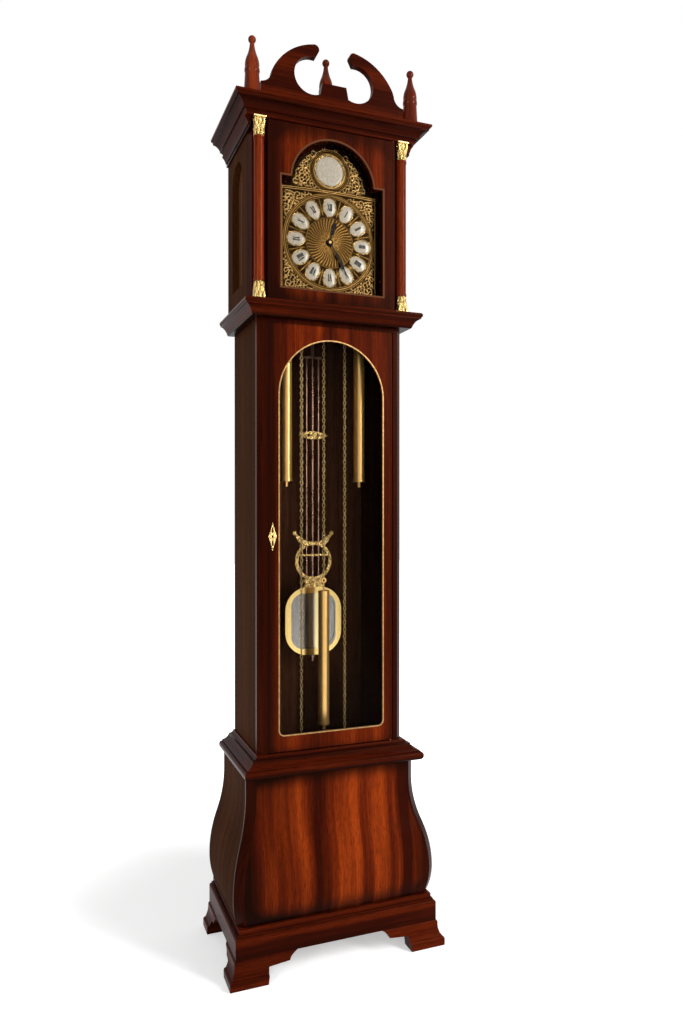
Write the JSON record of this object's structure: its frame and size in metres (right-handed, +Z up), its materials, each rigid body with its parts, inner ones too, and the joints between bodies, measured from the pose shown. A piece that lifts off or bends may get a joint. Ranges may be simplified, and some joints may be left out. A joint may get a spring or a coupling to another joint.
{
  "type": "longcase clock",
  "caption": "Tall longcase clock with a bombe base on bracket feet, glazed trunk door, arched hood with swan-neck pediment, chain-driven weights and a lyre pendulum.",
  "frame": {"origin": "on the floor, under the middle of the plinth's footprint", "axes": "+Z up, -Y towards the front of the clock, +X to the right as seen from the front"},
  "size_m": [0.496, 0.283, 2.016],
  "materials": {
    "mahogany": "glossy polished mahogany",
    "mahogany_side": "dark polished mahogany",
    "mahogany_turned": "glossy turned mahogany",
    "back_ply": "plain satin board",
    "fret": "dark pierced panel",
    "glass": "clear float glass",
    "brass": "polished lacquered brass",
    "gilt": "antique gilt",
    "dial_gold": "repousse antique gold",
    "enamel": "white enamel",
    "black_steel": "black hand finish",
    "steel": "bright steel",
    "copper_rod": "coppered rods",
    "bob_plate": "gold rim, silvered centre"
  },
  "bodies": {
    "case": {"bracket_feet": "mahogany", "plinth": "mahogany", "base_board": "back_ply", "bombe_front": "mahogany", "bombe_sides": "mahogany_side", "base_corner_posts": "mahogany", "back_board": "back_ply", "waist_moulding": "mahogany", "trunk_sides": "mahogany_side", "trunk_front_frame": "mahogany", "hood_base_moulding": "mahogany", "seat_board": "back_ply", "hood_sides": "mahogany_side", "hood_front_frame": "mahogany", "hood_frets": "fret", "cornice": "mahogany", "hood_roof": "back_ply", "pediment_board": "mahogany", "finials": "mahogany_turned", "columns": "mahogany_turned", "column_mounts": "gilt", "front_plate": "brass", "back_plate": "brass", "dial_plate": "dial_gold", "dial_plaques": "enamel", "chime_rods": "steel", "chain_loops": "brass"},
    "trunk_door": {"trunk_door_frame": "mahogany", "trunk_door_glass": "glass", "trunk_door_bead": "gilt", "trunk_door_pivots": "brass", "door_escutcheon": "gilt"},
    "hood_door": {"hood_door_frame": "mahogany", "hood_door_glass": "glass", "hood_door_pivots": "brass"},
    "pendulum": {"pendulum_rods": "copper_rod", "pendulum_lyre": "gilt", "pendulum_bob": "bob_plate"},
    "anchor": {"anchor": "steel"},
    "centre_train": {"centre_wheel": "brass", "minute_hand": "black_steel"},
    "hour_train": {"hour_wheel": "brass", "hour_hand": "black_steel"},
    "minute_wheel": {"minute_wheel": "brass"},
    "third_wheel": {"third_wheel": "brass"},
    "escape_wheel": {"escape_wheel": "brass"},
    "great_wheel": {"time_great_wheel": "brass"},
    "time_sprocket": {"time_sprocket": "brass"},
    "strike_sprocket": {"strike_sprocket": "brass"},
    "chime_sprocket": {"chime_sprocket": "brass"},
    "time_weight": {"time_weight": "brass", "time_chain": "brass"},
    "strike_weight": {"strike_weight": "brass", "strike_chain": "brass"},
    "chime_weight": {"chime_weight": "brass", "chime_chain": "brass"},
    "time_tail": {"time_chain_tail": "brass"},
    "strike_tail": {"strike_chain_tail": "brass"},
    "chime_tail": {"chime_chain_tail": "brass"},
    "hammers": {"hammers": "steel"}
  },
  "joints": [
    {"name": "trunk_door_hinge", "type": "hinge", "parent": "case", "child": "trunk_door", "pos_m": [0.1443, -0.071, 0.93], "axis": [0, 0, 1], "range_deg": [0, 90]},
    {"name": "hood_door_hinge", "type": "hinge", "parent": "case", "child": "hood_door", "pos_m": [0.147, -0.0785, 1.64], "axis": [0, 0, 1], "range_deg": [0, 90]},
    {"name": "pendulum_swing", "type": "hinge", "parent": "case", "child": "pendulum", "pos_m": [0, 0.0615, 1.68901], "axis": [0, 1, 0], "range_deg": [-3, 3]},
    {"name": "anchor_rock", "type": "hinge", "parent": "case", "child": "anchor", "pos_m": [0, 0, 1.68901], "axis": [0, 1, 0], "range_deg": [-3, 3]},
    {"name": "centre_turn", "type": "hinge", "parent": "case", "child": "centre_train", "pos_m": [0, -0.005, 1.5915], "axis": [0, 1, 0], "continuous": true},
    {"name": "hour_turn", "type": "hinge", "parent": "case", "child": "hour_train", "pos_m": [0, -0.058, 1.5915], "axis": [0, 1, 0], "continuous": true},
    {"name": "minute_wheel_turn", "type": "hinge", "parent": "case", "child": "minute_wheel", "pos_m": [0.012, -0.045, 1.57072], "axis": [0, 1, 0], "continuous": true},
    {"name": "third_turn", "type": "hinge", "parent": "case", "child": "third_wheel", "pos_m": [0.01915, -0.005, 1.62752], "axis": [0, 1, 0], "continuous": true},
    {"name": "escape_turn", "type": "hinge", "parent": "case", "child": "escape_wheel", "pos_m": [0, -0.005, 1.65366], "axis": [0, 1, 0], "continuous": true},
    {"name": "great_turn", "type": "hinge", "parent": "case", "child": "great_wheel", "pos_m": [-0.01999, -0.005, 1.53176], "axis": [0, 1, 0], "continuous": true},
    {"name": "time_sprocket_turn", "type": "hinge", "parent": "case", "child": "time_sprocket", "pos_m": [-0.01999, 0.0015, 1.53176], "axis": [0, 1, 0], "range_deg": [-1200, 110]},
    {"name": "strike_sprocket_turn", "type": "hinge", "parent": "case", "child": "strike_sprocket", "pos_m": [-0.071, -0.0145, 1.5305], "axis": [0, 1, 0], "range_deg": [-1380, 105]},
    {"name": "chime_sprocket_turn", "type": "hinge", "parent": "case", "child": "chime_sprocket", "pos_m": [0.071, -0.0145, 1.5305], "axis": [0, 1, 0], "range_deg": [-105, 1380]},
    {"name": "time_weight_slide", "type": "slide", "parent": "case", "child": "time_weight", "axis": [0, 0, 1], "range_m": [-0.048, 0.56], "deforming": ["time_chain"]},
    {"name": "strike_weight_slide", "type": "slide", "parent": "case", "child": "strike_weight", "axis": [0, 0, 1], "range_m": [-0.432, 0.032], "deforming": ["strike_chain"]},
    {"name": "chime_weight_slide", "type": "slide", "parent": "case", "child": "chime_weight", "axis": [0, 0, 1], "range_m": [-0.432, 0.032], "deforming": ["chime_chain"]},
    {"name": "time_tail_slide", "type": "slide", "parent": "case", "child": "time_tail", "axis": [0, 0, 1], "range_m": [-0.56, 0.048], "deforming": ["time_chain_tail"]},
    {"name": "strike_tail_slide", "type": "slide", "parent": "case", "child": "strike_tail", "axis": [0, 0, 1], "range_m": [-0.032, 0.432], "deforming": ["strike_chain_tail"]},
    {"name": "chime_tail_slide", "type": "slide", "parent": "case", "child": "chime_tail", "axis": [0, 0, 1], "range_m": [-0.032, 0.432], "deforming": ["chime_chain_tail"]},
    {"name": "hammer_swing", "type": "hinge", "parent": "case", "child": "hammers", "pos_m": [0, 0.0865, 1.582], "axis": [1, 0, 0], "range_deg": [-20, 3.5]}
  ],
  "couplings": [
    {"joint": "anchor_rock", "follows": "pendulum_swing", "ratio": 1},
    {"joint": "hour_turn", "follows": "centre_turn", "ratio": 0.083333},
    {"joint": "minute_wheel_turn", "follows": "centre_turn", "ratio": -0.33333},
    {"joint": "third_turn", "follows": "centre_turn", "ratio": -7.5},
    {"joint": "escape_turn", "follows": "centre_turn", "ratio": 60},
    {"joint": "great_turn", "follows": "centre_turn", "ratio": -0.16667},
    {"joint": "time_sprocket_turn", "follows": "time_weight_slide", "rad_per_m": -37.037},
    {"joint": "time_tail_slide", "follows": "time_weight_slide", "ratio": -1},
    {"joint": "strike_sprocket_turn", "follows": "strike_weight_slide", "rad_per_m": 55.556},
    {"joint": "strike_tail_slide", "follows": "strike_weight_slide", "ratio": -1},
    {"joint": "chime_sprocket_turn", "follows": "chime_weight_slide", "rad_per_m": -55.556},
    {"joint": "chime_tail_slide", "follows": "chime_weight_slide", "ratio": -1}
  ]
}
